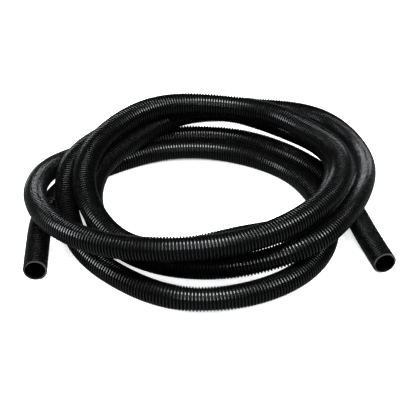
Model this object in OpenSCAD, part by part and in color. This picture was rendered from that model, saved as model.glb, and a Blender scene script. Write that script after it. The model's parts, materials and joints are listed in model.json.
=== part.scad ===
// One length of ribbed vacuum hose, lying in a loose coil of four and a half turns, with both ends free.
// It is modelled as stretches of the one hose. The coil's stretches meet face to face, and the free ends
// have a narrow gap at each place where they may bend.

/* [Hose] */
// Outside diameter, over the ribs
hose_od = 38; // [30:0.5:48]
// Thickness of the wall at the two mouths, from the crests of the ribs to the bore
wall = 3; // [1.5:0.25:6]
// Straight length of each mouth end, from its bending place
mouth_length = 80; // [60:1:100]

/* [Coil] */
// Mean radius of the coil, to the middle of the hose
coil_radius = 220; // [180:1:280]
// Straight tail on the right, between its two bending places
right_tail_length = 118; // [95:1:145]
// Straight tail on the left, between its two bending places
left_tail_length = 66; // [50:1:85]

/* [Bending places] */
// Largest bend to one side, in degrees
widest_bend = 15; // [8:1:25]
// Room left in the gap at the largest bend
bend_clearance = 0.6; // [0.3:0.1:2]

/* [Hidden] */

black = [0.06, 0.06, 0.065];

hose_r = hose_od / 2;
bore_r = hose_r - wall;
sides = 12;     // flat sides of a coiled stretch
smooth = 64;    // facets of the straight lengths
bore_over = 1;  // the bore runs this far past each face

// Each side of a bending place is cut back so that the flat ends clear each other at the largest bend.
cut_back = hose_r * tan(widest_bend / 2) + bend_clearance;

// The origin is under the middle of the heap, and the coil lies a little off it.
coil_centre = [-9, -8, 0];

// The hose's way round the coil, anticlockwise from above, with a point every 24 degrees.
// A point says how far it is outside the mean radius, and how high the middle of the hose is.
// Both were chosen for a hose of the standard diameter, and a fatter hose spreads and rises by as much.
standard_od = 38;
lay = hose_od / standard_od;
turn_step = 24;
way_round = [
    // first turn: along the floor at the back, then up the left side and over the front
    [-8, 19], [-24, 19], [-30, 20], [-30, 20], [-20, 19], [6, 22], [38, 40], [56, 60],
    [58, 74], [48, 84], [38, 96], [29, 99], [23, 104], [20, 107], [6, 103],
    // second turn: on top at the back, then down inside the front
    [-18, 96], [-30, 94], [-42, 94], [-48, 98], [-50, 102], [-48, 98], [-38, 90], [-26, 78],
    [-14, 62], [0, 54], [3, 69], [-9, 75], [-13, 60], [-6, 57], [8, 62],
    // third turn: across the pile, down to the floor in front, and up on the right
    [14, 54], [10, 46], [0, 54], [-22, 62], [-48, 61], [-58, 57], [-48, 50], [-36, 36],
    [-28, 24], [-22, 19], [-12, 24], [13, 41], [41, 64], [44, 68], [56, 52],
    // fourth turn: the wide bow at the back, over the left side, then down and out in front
    [88, 28], [114, 22], [88, 20], [36, 38], [-4, 58], [-14, 62], [-2, 62], [6, 50],
    [20, 25], [36, 19], [58, 19], [56, 19], [40, 19], [8, 19], [-26, 20],
    // last half turn: tight inside on the floor at the back, then out to the left
    [-50, 20], [-68, 19], [-76, 19], [-75, 19], [-64, 19], [-44, 19], [-4, 19]
];

// Where the tails leave the coil: angle round the coil, then the same two values as above
right_root_at = [0, 20, 19];
left_root_at = [1634, 46, 19];

// Headings of the straight lengths, from the coil towards the mouth, in degrees from +X
right_heading = -76;
left_heading = -91;
left_mouth_heading = -87;

function around(angle, out, height) =
    coil_centre + [
        (coil_radius + out * lay) * cos(angle),
        (coil_radius + out * lay) * sin(angle),
        height * lay
    ];
function toward(heading) = [cos(heading), sin(heading), 0];
function unit(v) = v / norm(v);

right_root = around(right_root_at[0], right_root_at[1], right_root_at[2]);
left_root = around(left_root_at[0], left_root_at[1], left_root_at[2]);
right_bend = right_root + right_tail_length * toward(right_heading);
left_bend = left_root + left_tail_length * toward(left_heading);

route = concat(
    [right_root + cut_back * -toward(right_heading)],
    [for (i = [0 : len(way_round) - 1]) around((i + 1) * turn_step, way_round[i][0], way_round[i][1])],
    [left_root + cut_back * -toward(left_heading)]
);
last = len(route) - 1;

// Which way the hose runs at a point of the route
function running(i) =
    i == 0 ? -toward(right_heading)
    : i == last ? toward(left_heading)
    : unit(route[i + 1] - route[i - 1]);

// One ring of corners round the hose, square to its run, with a corner straight underneath
function ring(i) =
    let (
        along = running(i),
        side = unit(cross([0, 0, 1], along)),
        up = cross(along, side)
    )
    [for (k = [0 : sides - 1])
        route[i] + hose_r * (cos(k * 360 / sides) * side + sin(k * 360 / sides) * up)];

// A stretch of the coil, from one point of the route to another, as one closed swept tube
module coiled(from, to) {
    rings = to - from;
    corners = [for (i = [from : to]) each ring(i)];
    walls = [for (i = [0 : rings - 1], k = [0 : sides - 1])
        let (
            a = i * sides + k,
            b = i * sides + (k + 1) % sides,
            c = b + sides,
            d = a + sides
        )
        each [[a, d, c], [a, c, b]]];
    first_face = [for (k = [0 : sides - 1]) k];
    last_face = [for (k = [sides - 1 : -1 : 0]) rings * sides + k];
    color(black)
    polyhedron(corners, concat(walls, [first_face, last_face]), convexity = 6);
}

// A straight length on the floor that starts cut back from a bending place
module straight(start, heading, length, bore) {
    color(black)
    translate(start)
    rotate([0, 0, heading])
    rotate([0, 90, 0])
    translate([0, 0, cut_back])
    difference() {
        cylinder(r = hose_r, h = length - cut_back, $fn = smooth);
        if (bore > 0)
            translate([0, 0, -bore_over])
            cylinder(r = bore, h = length - cut_back + 2 * bore_over, $fn = smooth);
    }
}

module right_mouth() { straight(right_bend, right_heading, mouth_length, bore_r); }
module right_tail() { straight(right_root, right_heading, right_tail_length - cut_back, 0); }
module left_tail() { straight(left_root, left_heading, left_tail_length - cut_back, 0); }
module left_mouth() { straight(left_bend, left_mouth_heading, mouth_length, bore_r); }

// The coil's half turns, each from the point where the one before it ends
module turn_1_back() { coiled(0, 7); }
module turn_1_front() { coiled(7, 15); }
module turn_2_back() { coiled(15, 22); }
module turn_2_front() { coiled(22, 30); }
module turn_3_back() { coiled(30, 37); }
module turn_3_front() { coiled(37, 45); }
module turn_4_back() { coiled(45, 52); }
module turn_4_front() { coiled(52, 60); }
module turn_5_back() { coiled(60, last); }

right_mouth();
right_tail();
turn_1_back();
turn_1_front();
turn_2_back();
turn_2_front();
turn_3_back();
turn_3_front();
turn_4_back();
turn_4_front();
turn_5_back();
left_tail();
left_mouth();
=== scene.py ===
# %% [markdown]
# # A ribbed vacuum hose in a loose coil
#
# The object is one length of black ribbed hose, nearly seven metres of it, dropped on the floor in four and
# a half loose turns. Both ends are bare: cut off square, open, with nothing fitted to them.
#
# The hard part of a hose is that it is one long thin thing whose surface repeats more than a thousand times.
# So the work is split in two. First comes the line that the middle of the hose follows. Then a small Geometry
# Nodes tree wraps the ribbed wall round any stretch of that line, which is pure rule.

# %% Load the frame
import json
import math

import bpy
import numpy as np
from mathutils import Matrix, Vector


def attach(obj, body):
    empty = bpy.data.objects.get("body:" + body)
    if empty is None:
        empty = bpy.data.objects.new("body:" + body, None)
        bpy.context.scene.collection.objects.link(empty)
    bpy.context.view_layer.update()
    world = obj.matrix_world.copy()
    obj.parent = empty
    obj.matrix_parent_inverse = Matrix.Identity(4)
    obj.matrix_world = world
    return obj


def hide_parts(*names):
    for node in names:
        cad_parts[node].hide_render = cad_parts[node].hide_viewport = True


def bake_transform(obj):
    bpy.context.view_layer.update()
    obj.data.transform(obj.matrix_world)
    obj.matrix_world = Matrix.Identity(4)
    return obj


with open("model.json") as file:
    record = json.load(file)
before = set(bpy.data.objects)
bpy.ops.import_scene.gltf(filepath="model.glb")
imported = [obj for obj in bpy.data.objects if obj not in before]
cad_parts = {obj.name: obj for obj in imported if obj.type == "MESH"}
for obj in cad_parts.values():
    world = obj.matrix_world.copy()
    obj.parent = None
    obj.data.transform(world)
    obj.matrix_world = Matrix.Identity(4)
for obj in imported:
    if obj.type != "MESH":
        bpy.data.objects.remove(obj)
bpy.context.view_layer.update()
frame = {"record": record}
MM = 0.001

# %% [markdown]
# ## The camera
#
# Something this flat is best seen with a long lens from well above the floor, so that every turn shows
# without much perspective. The camera comes first, because everything after it is judged through it. It
# looks along +Y, down at the middle of the coil.

# %% Camera
COIL_CENTRE = Vector((-9, -8, 0)) * MM
AIM = COIL_CENTRE + Vector((0, 10, 0)) * MM
LOOKING_DOWN = math.radians(34.5)
CAMERA_AWAY = 1.938
LENS = 101.7
SENSOR = 36.0


def add_camera():
    """A long lens aimed at the coil, level from side to side."""
    data = bpy.data.cameras.new("camera")
    data.lens = LENS
    data.sensor_width = SENSOR
    camera = bpy.data.objects.new("camera", data)
    bpy.context.scene.collection.objects.link(camera)
    camera.location = AIM + CAMERA_AWAY * Vector((0, -math.cos(LOOKING_DOWN), math.sin(LOOKING_DOWN)))
    camera.rotation_euler = (math.pi / 2 - LOOKING_DOWN, 0, 0)
    bpy.context.scene.camera = camera
    return camera


camera = add_camera()
print("camera", round(CAMERA_AWAY, 2), "m away,", LENS, "mm lens")

# %% [markdown]
# ## The hose's way round the coil
#
# Nobody lays a hose in a perfect spiral. Each turn finds its own width and climbs over the ones below it.
# Here that is a list: one point every 24 degrees round the coil, each with two numbers, how far it lies
# outside the mean radius and how high the middle of the hose is there. Written round a circle like that, the
# list can be mended one number at a time: raise one, and one turn lifts a little higher over its neighbour.
#
# Most of these numbers were not chosen by hand. A fitting program worked them out, keeping the turns a hose's
# width apart, and they were then rounded to whole millimetres and changed in places. A coil laid by a loop,
# from a few chosen values for each turn, would be shorter and easier to learn from.
#
# A height of 19 mm is a hose lying on the floor, because that is its radius.

# %% Points of the route
HOSE_OD = 38 * MM
COIL_RADIUS = 220 * MM
TURN_STEP = math.radians(24)

WAY_ROUND = [
    # first turn: along the floor at the back, then up the left side and over the front
    (-8, 19), (-24, 19), (-30, 20), (-30, 20), (-20, 19), (6, 22), (38, 40), (56, 60),
    (58, 74), (48, 84), (38, 96), (29, 99), (23, 104), (20, 107), (6, 103),
    # second turn: on top at the back, then down inside the front
    (-18, 96), (-30, 94), (-42, 94), (-48, 98), (-50, 102), (-48, 98), (-38, 90), (-26, 78),
    (-14, 62), (0, 54), (3, 69), (-9, 75), (-13, 60), (-6, 57), (8, 62),
    # third turn: across the pile, down to the floor in front, and up on the right
    (14, 54), (10, 46), (0, 54), (-22, 62), (-48, 61), (-58, 57), (-48, 50), (-36, 36),
    (-28, 24), (-22, 19), (-12, 24), (13, 41), (41, 64), (44, 68), (56, 52),
    # fourth turn: the wide bow at the back, over the left side, then down and out in front
    (88, 28), (114, 22), (88, 20), (36, 38), (-4, 58), (-14, 62), (-2, 62), (6, 50),
    (20, 25), (36, 19), (58, 19), (56, 19), (40, 19), (8, 19), (-26, 20),
    # last half turn: tight inside on the floor at the back, then out to the left
    (-50, 20), (-68, 19), (-76, 19), (-75, 19), (-64, 19), (-44, 19), (-4, 19),
]


def around(angle, out, height):
    """The point at that angle round the coil, so far outside its mean radius and so high."""
    reach = COIL_RADIUS + out * MM
    return COIL_CENTRE + Vector((reach * math.cos(angle), reach * math.sin(angle), height * MM))


def toward(degrees):
    """A level direction, from +X."""
    return Vector((math.cos(math.radians(degrees)), math.sin(math.radians(degrees)), 0))


# where the tails leave the coil: angle, how far outside the mean radius, height
RIGHT_ROOT_AT = (0, 20, 19)
LEFT_ROOT_AT = (math.radians(1634), 46, 19)
RIGHT_HEADING = toward(-76)
LEFT_HEADING = toward(-91)
LEFT_MOUTH_HEADING = toward(-87)
RIGHT_TAIL_LENGTH = 118 * MM
LEFT_TAIL_LENGTH = 66 * MM
MOUTH_LENGTH = 80 * MM

right_root = around(*RIGHT_ROOT_AT)
left_root = around(*LEFT_ROOT_AT)
right_bend = right_root + RIGHT_TAIL_LENGTH * RIGHT_HEADING
left_bend = left_root + LEFT_TAIL_LENGTH * LEFT_HEADING

route = [right_bend + MOUTH_LENGTH * RIGHT_HEADING, right_bend, right_root]
route += [around((i + 1) * TURN_STEP, *point) for i, point in enumerate(WAY_ROUND)]
route += [left_root, left_bend, left_bend + MOUTH_LENGTH * LEFT_MOUTH_HEADING]
print(len(route), "points in the route")

# %% [markdown]
# ## One smooth line through the points
#
# A bent hose spreads its bend out, because a sharp corner would cost it more effort than a long curve. A
# natural cubic spline does the same thing: it is the line that a thin springy strip would take through
# those points. Working it out means solving one small set of linear equations, three times over, for X, Y
# and Z.

# %% Spline
LINE_STEP = 2 * MM


def natural_spline(points, step):
    """Points about one step apart on the natural cubic spline, and how far along it each given point is."""
    p = np.array([tuple(q) for q in points])
    t = np.concatenate([[0], np.cumsum(np.linalg.norm(np.diff(p, axis=0), axis=1))])
    h = np.diff(t)
    n = len(p)
    system, right_side = np.eye(n), np.zeros((n, 3))
    for i in range(1, n - 1):
        system[i, i - 1 : i + 2] = h[i - 1], 2 * (h[i - 1] + h[i]), h[i]
        right_side[i] = 6 * ((p[i + 1] - p[i]) / h[i] - (p[i] - p[i - 1]) / h[i - 1])
    bend = np.linalg.solve(system, right_side)
    at = np.linspace(0, t[-1], round(t[-1] / step) + 1)
    k = np.clip(np.searchsorted(t, at, side="right") - 1, 0, n - 2)
    before, after, width = (at - t[k])[:, None], (t[k + 1] - at)[:, None], h[k][:, None]
    line = (bend[k] * after**3 + bend[k + 1] * before**3) / (6 * width)
    line += (p[k] / width - bend[k] * width / 6) * after
    line += (p[k + 1] / width - bend[k + 1] * width / 6) * before
    run = np.concatenate([[0], np.cumsum(np.linalg.norm(np.diff(line, axis=0), axis=1))])
    return line, run, np.interp(t, at, run)


line, run, reached = natural_spline(route, LINE_STEP)
hose_length = run[-1]
print("hose length", round(hose_length, 3), "m, lowest", round(line[:, 2].min() / MM, 2), "mm")

# %% [markdown]
# The hose is cut into thirteen stretches, one for each of the frame's nodes, so that each can move with its
# own body. Every cut is made at a whole number of ribs, so that the rib runs on from one to the other. The
# skin of each tail also takes in the two points of the coil next to it, where it doesn't move. That leaves
# the place where a tail starts to bend in the middle of a skin, and not at a cut.

# %% Stretches
RIB_PITCH = 5 * MM
hose_ribs = hose_length / RIB_PITCH

# node, and the point of the route where its skin ends, counted from the right mouth
LAST_POINT = len(route) - 1
STRETCHES = [
    ("right_mouth", 1), ("right_tail", 4),
    ("turn_1_back", 9), ("turn_1_front", 17), ("turn_2_back", 24), ("turn_2_front", 32), ("turn_3_back", 39),
    ("turn_3_front", 47), ("turn_4_back", 54), ("turn_4_front", 62), ("turn_5_back", LAST_POINT - 4),
    ("left_tail", LAST_POINT - 1), ("left_mouth", LAST_POINT),
]


def rib_spans():
    """Each node's first and last rib."""
    spans, start = {}, 0.0
    for node, point in STRETCHES:
        end = hose_ribs if point == LAST_POINT else round(reached[point] / RIB_PITCH)
        spans[node] = (start, float(end))
        start = float(end)
    return spans


spans = rib_spans()
print(round(hose_ribs), "ribs in", len(spans), "stretches")

# %% [markdown]
# ## The ribbed wall
#
# This hose is wound from one plastic strip. Each turn of the strip overlaps the last, and leaves a raised
# rib that climbs the hose like the thread of a screw. It could be an array of rings, but rings never join
# up, and the cut ends would give that away: on the real hose the cut runs through the rib on one side and
# beside it on the other, so the rim is thick there and thin opposite.
#
# So the wall is one sheet of quads, and its rows follow the helix. A Grid gives the sheet. Every column is
# a place round the hose, and every row is a sixteenth of a rib further along. The rows run out along the
# outside and come back along the bore, which closes the wall at both ends. Where a row would pass the end
# of the stretch it is held there, and Merge by Distance then turns those held rows into a clean flat cut.
#
# The tree's inputs are the sizes that a hose maker would give: pitch, depth, radius and bore.

# %% Helpers for building node trees
def add_node(tree, kind, settings=(), **sockets):
    """A node with its settings made and its sockets set or linked, by name (spaces become underscores)."""
    node = tree.nodes.new(kind)
    for name, value in dict(settings).items():
        setattr(node, name, value)
    for name, value in sockets.items():
        join(tree, node.inputs[name.replace("_", " ")], value)
    return node


def join(tree, socket, value):
    """Link an output to the socket, or set the socket's own value."""
    if isinstance(value, bpy.types.NodeSocket):
        tree.links.new(value, socket)
    else:
        socket.default_value = value


def math_node(tree, operation, *values, clamp=False):
    """One Math node, and its result."""
    node = tree.nodes.new("ShaderNodeMath")
    node.operation = operation
    node.use_clamp = clamp
    for socket, value in zip(node.inputs, values):
        join(tree, socket, value)
    return node.outputs[0]


def vector_node(tree, operation, *values):
    """One Vector Math node, and its result."""
    node = tree.nodes.new("ShaderNodeVectorMath")
    node.operation = operation
    sockets = [node.inputs[0], node.inputs[3] if operation == "SCALE" else node.inputs[1]]
    for socket, value in zip(sockets, values):
        join(tree, socket, value)
    return node.outputs[0]


# %% Sizes of the wall
WALL_SIZES = {
    "Rib Pitch": ("NodeSocketFloat", RIB_PITCH),
    "Crest Radius": ("NodeSocketFloat", HOSE_OD / 2),
    "Rib Depth": ("NodeSocketFloat", 2.4 * MM),
    "Bore Radius": ("NodeSocketFloat", 16 * MM),
    "Crest Edge": ("NodeSocketFloat", 0.3),
    "Valley Edge": ("NodeSocketFloat", 0.62),
    "Rows per Rib": ("NodeSocketInt", 16),
    "Sides": ("NodeSocketInt", 32),
    "Thick Side": ("NodeSocketFloat", 0.25),
    "Start": ("NodeSocketFloat", 0.0),
    "End": ("NodeSocketFloat", 10.0),
}
WELD = 0.01 * MM


# %% The tree: rows and columns
def sheet_of_rows(tree, size):
    """The grid, and each point's turn round the hose, place along it in ribs, and if it is in the bore."""
    first = math_node(tree, "FLOOR", size["Start"])
    last = math_node(tree, "CEIL", size["End"])
    ribs = math_node(tree, "ADD", math_node(tree, "SUBTRACT", last, first), 1.0)
    outside_rows = math_node(tree, "ADD", math_node(tree, "MULTIPLY", ribs, size["Rows per Rib"]), 1.0)
    open_rows = math_node(tree, "ADD", math_node(tree, "ADD", outside_rows, ribs), 1.0)
    columns = math_node(tree, "ADD", size["Sides"], 1.0)
    rows = math_node(tree, "ADD", open_rows, 1.0)
    grid = add_node(tree, "GeometryNodeMeshGrid", Vertices_X=rows, Vertices_Y=columns)
    index = tree.nodes.new("GeometryNodeInputIndex").outputs[0]
    turn = math_node(tree, "DIVIDE", math_node(tree, "MODULO", index, columns), size["Sides"])
    row = math_node(tree, "FLOOR", math_node(tree, "DIVIDE", math_node(tree, "ADD", index, 0.5), columns))
    row = math_node(tree, "MODULO", row, open_rows)
    in_bore = math_node(tree, "GREATER_THAN", row, math_node(tree, "SUBTRACT", outside_rows, 0.5))
    going_out = math_node(tree, "ADD", math_node(tree, "DIVIDE", row, size["Rows per Rib"]),
                          math_node(tree, "SUBTRACT", first, 1.0))
    coming_back = math_node(tree, "SUBTRACT", last, math_node(tree, "SUBTRACT", row, outside_rows))
    place = add_node(tree, "ShaderNodeMix", Factor=in_bore, A=going_out, B=coming_back).outputs[0]
    place = math_node(tree, "ADD", place, turn)
    place = math_node(tree, "MINIMUM", math_node(tree, "MAXIMUM", place, size["Start"]), size["End"])
    return grid.outputs[0], turn, place, in_bore


# %% The tree: where each point goes
def rib_height(tree, size, turn, place):
    """From 0 in the valley to 1 on the crest, with the rib climbing one pitch a turn."""
    climb = math_node(tree, "SUBTRACT", math_node(tree, "ADD", place, size["Thick Side"]), turn)
    from_crest = math_node(tree, "PINGPONG", climb, 0.5)
    from_crest = math_node(tree, "MULTIPLY", from_crest, 2.0)
    height = add_node(tree, "ShaderNodeMapRange", {"interpolation_type": "SMOOTHSTEP"}, Value=from_crest,
                      From_Min=size["Crest Edge"], From_Max=size["Valley Edge"], To_Min=1.0, To_Max=0.0)
    return height.outputs[0]


def place_round_line(tree, size, line_geometry, turn, place, radius):
    """The point at that turn and radius, round the line's point at that place."""
    sample = add_node(tree, "GeometryNodeSampleCurve", {"mode": "LENGTH", "use_all_curves": True},
                      Curves=line_geometry, Length=math_node(tree, "MULTIPLY", place, size["Rib Pitch"]))
    middle, tangent = sample.outputs["Position"], sample.outputs["Tangent"]
    side = vector_node(tree, "NORMALIZE", vector_node(tree, "CROSS_PRODUCT", (0, 0, 1), tangent))
    up = vector_node(tree, "CROSS_PRODUCT", tangent, side)
    angle = math_node(tree, "MULTIPLY", turn, math.tau)
    sideways = math_node(tree, "MULTIPLY", radius, math_node(tree, "COSINE", angle))
    upwards = math_node(tree, "MULTIPLY", radius, math_node(tree, "SINE", angle))
    across = vector_node(tree, "SCALE", side, sideways)
    above = vector_node(tree, "SCALE", up, upwards)
    return vector_node(tree, "ADD", middle, vector_node(tree, "ADD", across, above))


# %% [markdown]
# The tree also leaves the finishes something to read. A UV map holds the turn round the hose and the metres
# along it. Two attributes say how high up the rib a point is, and whether it is in the bore. A face that
# has one foot outside and one in the bore can only be part of a cut end, and that is how the rims are found
# and given their own material.

# %% The tree: the whole
DEEP_BELOW = 0.4
# a face's share of corners in the bore: all of them, or about half on a rim
ALL_IN_BORE = 0.8
RIM_IN_BORE = 0.5
RIM_LEEWAY = 0.3


def store(tree, geometry, name, value, data_type="FLOAT", domain="POINT"):
    """Keep a value on the mesh under that name."""
    return add_node(tree, "GeometryNodeStoreNamedAttribute", {"data_type": data_type, "domain": domain},
                    Geometry=geometry, Name=name, Value=value).outputs[0]


def recall(tree, name, data_type="FLOAT"):
    """The value that was kept under that name."""
    return add_node(tree, "GeometryNodeInputNamedAttribute", {"data_type": data_type}, Name=name).outputs[0]


def build_wall_tree(wall, deep, rim):
    """The tree that wraps the ribbed wall round the curve it is given."""
    tree = bpy.data.node_groups.new("ribbed_wall", "GeometryNodeTree")
    tree.interface.new_socket("Line", in_out="INPUT", socket_type="NodeSocketGeometry")
    for name, (kind, value) in WALL_SIZES.items():
        tree.interface.new_socket(name, in_out="INPUT", socket_type=kind).default_value = value
    tree.interface.new_socket("Wall", in_out="OUTPUT", socket_type="NodeSocketGeometry")
    size = tree.nodes.new("NodeGroupInput").outputs
    grid, turn, place, in_bore = sheet_of_rows(tree, size)
    height = rib_height(tree, size, turn, place)
    drop = math_node(tree, "MULTIPLY", math_node(tree, "SUBTRACT", 1.0, height), size["Rib Depth"])
    outside = math_node(tree, "SUBTRACT", size["Crest Radius"], drop)
    radius = add_node(tree, "ShaderNodeMix", Factor=in_bore, A=outside, B=size["Bore Radius"]).outputs[0]
    position = place_round_line(tree, size, size["Line"], turn, place, radius)
    kept = store(tree, grid, "rib_height", height)
    kept = store(tree, kept, "in_bore", in_bore)
    metres = math_node(tree, "MULTIPLY", place, size["Rib Pitch"])
    uv = add_node(tree, "ShaderNodeCombineXYZ", X=turn, Y=metres).outputs[0]
    kept = store(tree, kept, "wrap", uv, "FLOAT_VECTOR")
    placed = add_node(tree, "GeometryNodeSetPosition", Geometry=kept, Position=position).outputs[0]
    mapped = store(tree, placed, "UVMap", recall(tree, "wrap", "FLOAT_VECTOR"), "FLOAT2", "CORNER")
    clean = add_node(tree, "GeometryNodeRemoveAttribute", Geometry=mapped, Name="wrap").outputs[0]
    welded = add_node(tree, "GeometryNodeMergeByDistance", Geometry=clean, Distance=WELD).outputs[0]
    bore = recall(tree, "in_bore")
    # faces deep in the valleys or inside the bore, which get the painted shade material
    painted_shade_faces = math_node(tree, "MAXIMUM", math_node(tree, "LESS_THAN", recall(tree, "rib_height"), DEEP_BELOW),
                        math_node(tree, "GREATER_THAN", bore, ALL_IN_BORE))
    is_rim = math_node(tree, "COMPARE", bore, RIM_IN_BORE, RIM_LEEWAY)
    flat = add_node(tree, "GeometryNodeSetShadeSmooth", {"domain": "FACE"}, Geometry=welded, Selection=is_rim,
                    Shade_Smooth=False).outputs[0]
    real = add_node(tree, "GeometryNodeRealizeInstances", Geometry=flat).outputs[0]
    finished = add_node(tree, "GeometryNodeSetMaterial", Geometry=real, Material=wall).outputs[0]
    for faces, material in ((painted_shade_faces, deep), (is_rim, rim)):
        finished = add_node(tree, "GeometryNodeSetMaterial", Geometry=finished, Selection=faces,
                            Material=material).outputs[0]
    tree.links.new(finished, tree.nodes.new("NodeGroupOutput").inputs[0])
    return tree


# %% [markdown]
# ## Finishes
#
# The wall is taken to be a flexible plastic, black right through and half glossy: each rib carries one thin
# bright line where the light strikes it, and the valleys stay black, with painted shade making their black
# darker than the crests'. Two small things keep it from looking like glass. An extruded surface ripples
# slightly and its gloss is a little uneven. And the crests rub on floors and on each other, so they carry
# dull scuffs that the valleys don't.
#
# The wall, the painted shade of its deep parts and the cut rims all use that unevenness, so it is a group of
# its own. It gives out plain values, and each material decides what to do with them.

# %% Shared finish: the extruder's ripple
def build_ripple():
    """Uneven gloss and a fine ripple, from 0 to 1, in the piece's own space."""
    tree = bpy.data.node_groups.new("extruded_ripple", "ShaderNodeTree")
    for name, value in (("Blotch Scale", 60.0), ("Ripple Scale", 900.0)):
        tree.interface.new_socket(name, in_out="INPUT", socket_type="NodeSocketFloat").default_value = value
    for name in ("Blotches", "Ripple"):
        tree.interface.new_socket(name, in_out="OUTPUT", socket_type="NodeSocketFloat")
    size = tree.nodes.new("NodeGroupInput").outputs
    where = tree.nodes.new("ShaderNodeTexCoord").outputs["Object"]
    blotches = add_node(tree, "ShaderNodeTexNoise", Vector=where, Scale=size["Blotch Scale"], Detail=3.0)
    ripple = add_node(tree, "ShaderNodeTexNoise", Vector=where, Scale=size["Ripple Scale"], Detail=2.0)
    result = tree.nodes.new("NodeGroupOutput").inputs
    tree.links.new(blotches.outputs[0], result["Blotches"])
    tree.links.new(ripple.outputs[0], result["Ripple"])
    return tree


# %% Shared finish: rubbed edges
SCUFFS_FROM = 0.52
SCUFFS_FULL = 0.74
RUBBED_ABOVE = 0.75


def build_rubbing():
    """A mask of short scuffs that run along the hose, wherever the height given is near 1."""
    tree = bpy.data.node_groups.new("rubbed_crests", "ShaderNodeTree")
    for name, value in (("Height", 1.0), ("Scuffs Round", 40.0), ("Scuffs per Metre", 90.0), ("Amount", 0.5)):
        tree.interface.new_socket(name, in_out="INPUT", socket_type="NodeSocketFloat").default_value = value
    tree.interface.new_socket("Rubbed", in_out="OUTPUT", socket_type="NodeSocketFloat")
    size = tree.nodes.new("NodeGroupInput").outputs
    uv = tree.nodes.new("ShaderNodeUVMap").outputs[0]
    wrap = add_node(tree, "ShaderNodeSeparateXYZ", Vector=uv).outputs
    stretched = add_node(tree, "ShaderNodeCombineXYZ",
                         X=math_node(tree, "MULTIPLY", wrap[0], size["Scuffs Round"]),
                         Y=math_node(tree, "MULTIPLY", wrap[1], size["Scuffs per Metre"])).outputs[0]
    noise = add_node(tree, "ShaderNodeTexNoise", Vector=stretched, Scale=1.0, Detail=4.0, Roughness=0.7)
    patches = add_node(tree, "ShaderNodeMapRange", Value=noise.outputs[0], From_Min=SCUFFS_FROM,
                       From_Max=SCUFFS_FULL).outputs[0]
    high = add_node(tree, "ShaderNodeMapRange", Value=size["Height"], From_Min=RUBBED_ABOVE,
                    From_Max=1.0).outputs[0]
    rubbed = math_node(tree, "MULTIPLY", math_node(tree, "MULTIPLY", patches, high), size["Amount"])
    tree.links.new(rubbed, tree.nodes.new("NodeGroupOutput").inputs[0])
    return tree


RIPPLE_DEPTH = 0.1 * MM
ripple_group = build_ripple()
rubbing_group = build_rubbing()


def use_group(tree, group, **sockets):
    """One of the shared groups, placed in a material."""
    return add_node(tree, "ShaderNodeGroup", {"node_tree": group}, **sockets).outputs


def add_ripple(tree, skin, marks, strength):
    """The ripple, as a fine bump on the skin."""
    bump = add_node(tree, "ShaderNodeBump", Strength=strength, Distance=RIPPLE_DEPTH, Height=marks["Ripple"])
    tree.links.new(bump.outputs[0], skin["Normal"])


# %% The wall's black plastic
def new_material(name):
    """An empty material with one Principled BSDF."""
    material = bpy.data.materials.new(name)
    material.use_nodes = True
    tree = material.node_tree
    return material, tree, tree.nodes["Principled BSDF"].inputs


def mix_colour(tree, factor, low, high):
    """A colour between two, by the factor."""
    mix = tree.nodes.new("ShaderNodeMix")
    mix.data_type = "RGBA"
    join(tree, mix.inputs[0], factor)
    join(tree, mix.inputs[6], low)
    join(tree, mix.inputs[7], high)
    return mix.outputs[2]


# painted shade: the valleys' black below is four times darker than the crests', for the shade between the
# ribs
VALLEY_SHADE_BLACK = (0.0003, 0.0003, 0.0003, 1)
CREST_BLACK = (0.0012, 0.0012, 0.0013, 1)
SCUFF_GREY = (0.012, 0.012, 0.0125, 1)
CREST_ROUGHNESS = 0.2
BLOTCHES_DULLER = 0.1
VALLEY_DULLER = 0.05
SCUFF_AMOUNT = 0.45
SCUFFS_DULLER = 0.3
PLASTIC_IOR = 1.5
WALL_SHINE = 0.4


def make_wall_black():
    """Half glossy black with painted shade darkening it down into the valleys, duller down the sides of the
    ribs, with faint scuffs along the crests.
    """
    material, tree, skin = new_material("wall_black")
    height = add_node(tree, "ShaderNodeAttribute", {"attribute_name": "rib_height"}).outputs["Fac"]
    marks = use_group(tree, ripple_group, Blotch_Scale=45.0, Ripple_Scale=700.0)
    rubbed = use_group(tree, rubbing_group, Height=height, Amount=SCUFF_AMOUNT)[0]
    # the colour darkens from crest to valley: painted shade
    black = mix_colour(tree, height, VALLEY_SHADE_BLACK, CREST_BLACK)
    tree.links.new(mix_colour(tree, rubbed, black, SCUFF_GREY), skin["Base Color"])
    low_down = math_node(tree, "MULTIPLY", math_node(tree, "SUBTRACT", 1.0, height), VALLEY_DULLER)
    uneven = math_node(tree, "MULTIPLY", marks["Blotches"], BLOTCHES_DULLER)
    scuffed = math_node(tree, "MULTIPLY", rubbed, SCUFFS_DULLER)
    dullness = math_node(tree, "ADD", math_node(tree, "ADD", CREST_ROUGHNESS, uneven), low_down)
    tree.links.new(math_node(tree, "ADD", dullness, scuffed, clamp=True), skin["Roughness"])
    add_ripple(tree, skin, marks, 0.12)
    skin["IOR"].default_value = PLASTIC_IOR
    skin["Specular IOR Level"].default_value = WALL_SHINE
    return material


# %% [markdown]
# The valleys and the bore never get rubbed. They keep the matt bloom and the dust that the crests lose, and
# almost no light finds its way out of them. That shade is painted in: they get a black of their own, darker
# than the wall's, that hardly mirrors anything.

# %% Painted shade: the dark black of the valleys and the bore
# painted shade: both blacks below are darker than the wall, mixed at random like dust
SHADE_BLACK = (0.0003, 0.0003, 0.0003, 1)
DUST_IN_SHADE = (0.0012, 0.0012, 0.0011, 1)
DEEP_ROUGHNESS = 0.4
DEEP_SHINE = 0.05
RIPPLE_DULLER = 0.2


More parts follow.
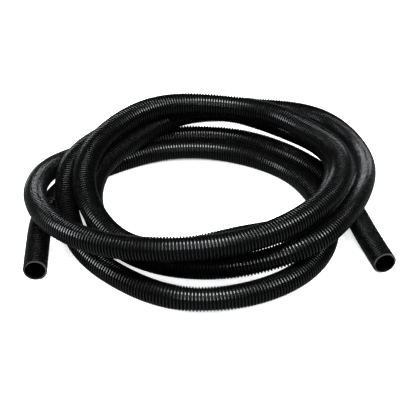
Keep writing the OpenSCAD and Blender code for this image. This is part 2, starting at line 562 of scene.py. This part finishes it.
def make_painted_shade_black():
    """Painted shade: matt black, darker than the wall, with a breath of dust, and nearly no shine."""
    material, tree, skin = new_material("painted_shade_black")
    marks = use_group(tree, ripple_group, Blotch_Scale=120.0, Ripple_Scale=900.0)
    tree.links.new(mix_colour(tree, marks["Blotches"], SHADE_BLACK, DUST_IN_SHADE), skin["Base Color"])
    uneven = math_node(tree, "MULTIPLY", marks["Ripple"], RIPPLE_DULLER)
    tree.links.new(math_node(tree, "ADD", DEEP_ROUGHNESS, uneven), skin["Roughness"])
    add_ripple(tree, skin, marks, 0.2)
    skin["Specular IOR Level"].default_value = DEEP_SHINE
    return material


# %% [markdown]
# A knife leaves the cut ends greyer than the wall: the cut face is torn rather than moulded, so it scatters
# the light instead of mirroring it.

# %% The cut rims
RIM_GREY = (0.045, 0.045, 0.047, 1)
RIM_PALE = (0.085, 0.085, 0.088, 1)
RIM_ROUGHNESS = 0.35


def make_cut_rim():
    """Duller grey, with the fine drag marks of the knife."""
    material, tree, skin = new_material("cut_rim")
    marks = use_group(tree, ripple_group, Blotch_Scale=300.0, Ripple_Scale=1600.0)
    tree.links.new(mix_colour(tree, marks["Blotches"], RIM_GREY, RIM_PALE), skin["Base Color"])
    uneven = math_node(tree, "MULTIPLY", marks["Ripple"], RIPPLE_DULLER)
    tree.links.new(math_node(tree, "ADD", RIM_ROUGHNESS, uneven), skin["Roughness"])
    add_ripple(tree, skin, marks, 0.35)
    return material


wall_black = make_wall_black()
painted_shade_black = make_painted_shade_black()
cut_rim = make_cut_rim()
wall_tree = build_wall_tree(wall_black, painted_shade_black, cut_rim)
print(len(wall_tree.nodes), "nodes in the wall's tree")

# %% [markdown]
# ## Wrapping the hose
#
# The line becomes a curve object, and the tree is put on it as a modifier, once for each stretch, with that
# stretch's first and last rib. Only those two inputs change. Each result is kept as a plain mesh and the
# modifier goes away, so nothing live is left behind, and the curve is thrown away at the end.

# %% Wrap every stretch
def add_line(points):
    """The line as a curve object, for the tree to follow."""
    data = bpy.data.curves.new("hose_line", "CURVE")
    data.dimensions = "3D"
    spline = data.splines.new("POLY")
    spline.points.add(len(points) - 1)
    spline.points.foreach_set("co", np.column_stack([points, np.ones(len(points))]).ravel())
    line_object = bpy.data.objects.new("hose_line", data)
    bpy.context.scene.collection.objects.link(line_object)
    return line_object


def wrap_stretch(line_object, name, start, end):
    """One stretch of the wall as a plain mesh object."""
    modifier = line_object.modifiers.new("ribbed_wall", "NODES")
    modifier.node_group = wall_tree
    items = wall_tree.interface.items_tree
    sockets = {item.name: item.identifier for item in items if item.in_out == "INPUT"}
    for item, value in (("Start", start), ("End", end)):
        modifier[sockets[item]] = value
    line_object.data.update_tag()
    bpy.context.view_layer.update()
    evaluated = line_object.evaluated_get(bpy.context.evaluated_depsgraph_get())
    mesh = bpy.data.meshes.new_from_object(evaluated)
    line_object.modifiers.remove(modifier)
    mesh.name = name
    piece = bpy.data.objects.new(name, mesh)
    bpy.context.scene.collection.objects.link(piece)
    return piece


hose_line = add_line(line)
skins = {node: wrap_stretch(hose_line, node + "_skin", *span) for node, span in spans.items()}
bpy.data.objects.remove(hose_line)
for node, piece in skins.items():
    print(piece.name, len(piece.data.vertices), "points", len(piece.data.polygons), "faces")

# %% [markdown]
# ## Moving with the frame
#
# The frame's free ends move as stiff lengths on hinges, but a hose has no hinges. Here only the stretches of
# the coil are carried, by the coil's body. The tails' skins are baked in place as they lie, and nothing here
# makes them follow the coil to a bending place or turn smoothly into the tail.

# %% Ride with the coil, and bake the tails in place
BODY = {node: body for body, nodes in frame["record"]["behaviour"]["bodies"].items() for node in nodes}

BENDS = [
    ("right_tail", "coil", right_root, RIGHT_HEADING),
    ("right_mouth", "right_tail", right_bend, RIGHT_HEADING),
    ("left_tail", "coil", left_root, LEFT_HEADING),
    ("left_mouth", "left_tail", left_bend, LEFT_MOUTH_HEADING),
]
for node, skin in skins.items():
    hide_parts(node)
    if BODY[node] == "coil":
        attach(skin, "coil")
for node, held_by, start, heading in BENDS:
    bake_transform(skins[node])

# %% [markdown]
# The middle line of every stretch is worked out below, as points close together, each one starting where it
# leaves the stretch before it. Nothing further is done with these lines here. The two mouth ends are too
# short to count as hose of their own, and are left out.

PATH_STEP = 12 * MM


def middle_line(start, end):
    """The hose's middle line between two ribs, as points close together."""
    at = np.linspace(start * RIB_PITCH, end * RIB_PITCH, round((end - start) * RIB_PITCH / PATH_STEP) + 1)
    return np.column_stack([np.interp(at, run, line[:, axis]) for axis in range(3)])


for node in [name for name in spans if not name.endswith("_mouth")]:
    start, end = spans[node]
    middle = middle_line(start, end)
    if node == "right_tail":
        middle = middle[::-1]

# %% [markdown]
# ## Floor and light
#
# Black plastic has almost no colour of its own. What the eye reads on it is reflections: of the lamps, and
# of whatever it lies on. So black things are lit with a few big soft lamps against a dark room, and each
# lamp becomes a bright line down the hose. The lamp overhead draws the line along the near and far strands,
# one lamp at each side draws the lines on the strands that run towards the camera, and a long low lamp in
# front reaches under the top turn.
#
# A white floor would throw too much light back and turn the blacks grey. In a studio, dark boards stand just
# out of view for this. Here the floor does the same itself: the camera sees it white, and the hose sees it
# dim.

# %% Floor
SEEN_WHITE = (0.9, 0.9, 0.9, 1)
DIM_GREY = (0.13, 0.13, 0.133, 1)
FLOOR_GLOW = 0.75
FLOOR_ROUGHNESS = 0.9
FLOOR_SIZE = 20


def add_floor():
    """A plain pale floor, which is dimmer to everything but the camera."""
    bpy.ops.mesh.primitive_plane_add(size=FLOOR_SIZE)
    floor = bpy.context.object
    floor.name = "floor"
    material, tree, skin = new_material("floor_white")
    to_camera = tree.nodes.new("ShaderNodeLightPath").outputs["Is Camera Ray"]
    tree.links.new(mix_colour(tree, to_camera, DIM_GREY, SEEN_WHITE), skin["Base Color"])
    tree.links.new(math_node(tree, "MULTIPLY", to_camera, FLOOR_GLOW), skin["Emission Strength"])
    skin["Emission Color"].default_value = SEEN_WHITE
    skin["Roughness"].default_value = FLOOR_ROUGHNESS
    floor.data.materials.append(material)


add_floor()

# %% Lamps
# name: direction from the origin under the coil, distance, width and height, power in watts
LAMPS = {
    "overhead": ((0, -0.28, 0.96), 2.5, (1.4, 0.8), 120),
    "left": ((-0.9, -0.1, 0.42), 1.9, (0.6, 0.8), 36),
    "right": ((0.62, -0.2, 0.75), 2.2, (0.6, 0.8), 40),
    "front": ((0, -0.8, 0.6), 2.6, (1.6, 0.3), 30),
}
COOL_WHITE = (0.95, 0.98, 1.0)
ROOM_GLOW = 0.02


def add_lamp(name, direction, distance, size, power):
    """A rectangular soft lamp that faces the origin."""
    data = bpy.data.lights.new(name, "AREA")
    data.shape = "RECTANGLE"
    data.size, data.size_y = size
    data.energy = power
    data.color = COOL_WHITE
    lamp = bpy.data.objects.new(name, data)
    bpy.context.scene.collection.objects.link(lamp)
    away = Vector(direction).normalized()
    lamp.location = away * distance
    lamp.rotation_euler = away.to_track_quat("Z", "Y").to_euler()


for name, lamp in LAMPS.items():
    add_lamp(name, *lamp)
room = bpy.data.worlds.new("room")
bpy.context.scene.world = room
room.use_nodes = True
room.node_tree.nodes["Background"].inputs["Strength"].default_value = ROOM_GLOW
bpy.context.scene.view_settings.view_transform = "Standard"
print(len(LAMPS), "lamps")
